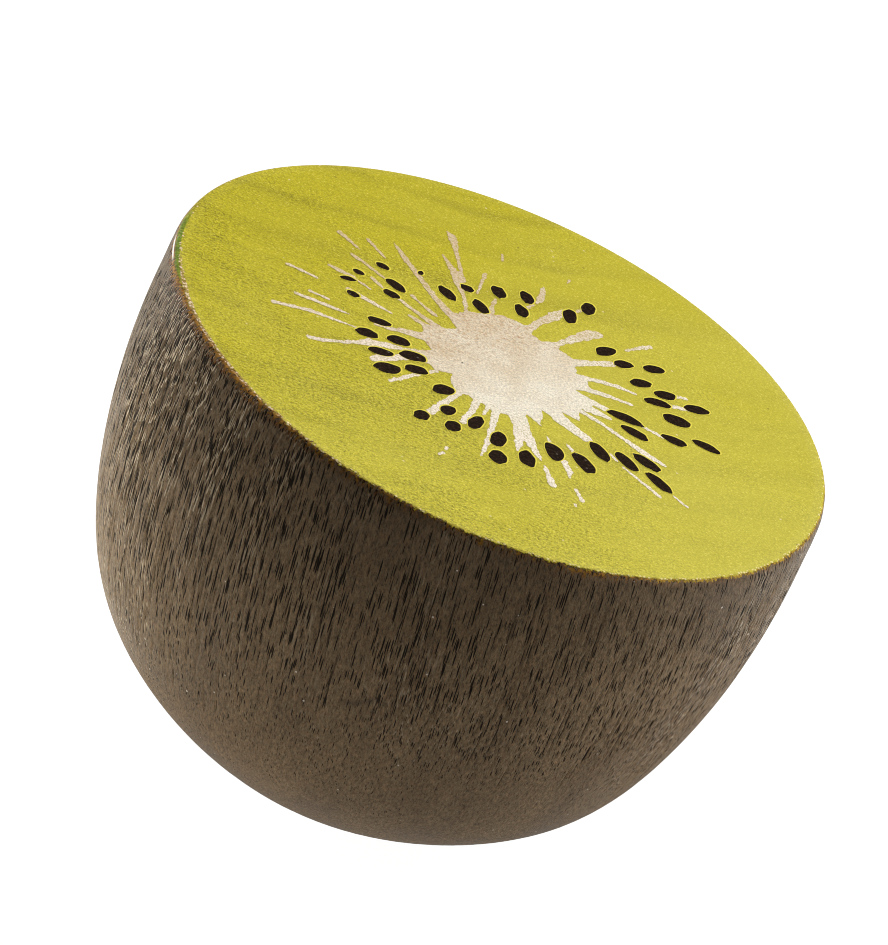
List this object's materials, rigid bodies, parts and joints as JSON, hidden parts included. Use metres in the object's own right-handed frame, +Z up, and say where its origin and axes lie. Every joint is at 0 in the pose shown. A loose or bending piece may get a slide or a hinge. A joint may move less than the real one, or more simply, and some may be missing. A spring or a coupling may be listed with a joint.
{
  "type": "wooden play-food kiwi half",
  "caption": "Wooden toy kiwi half: turned hardwood body stained brown, flat lime painted face with a cream core, rays and black seeds, resting tilted on its rounded end.",
  "frame": {"origin": "centre of the small flat spot that the part rests on, on the shoulder of its rounded end", "axes": "+Z up, square to the resting spot. The turning axis leans 22.2 degrees from +Z towards +X, in the XZ plane, so the painted cut face looks up and towards +X. The part is symmetric about the XZ plane"},
  "size_m": [0.0503, 0.0484, 0.0433],
  "materials": {
    "wood": "open-pored brown stain on the side; thin matt lime, cream and black paint on the cut face"
  },
  "bodies": {
    "root": {"kiwi_half": "wood"}
  },
  "joints": []
}
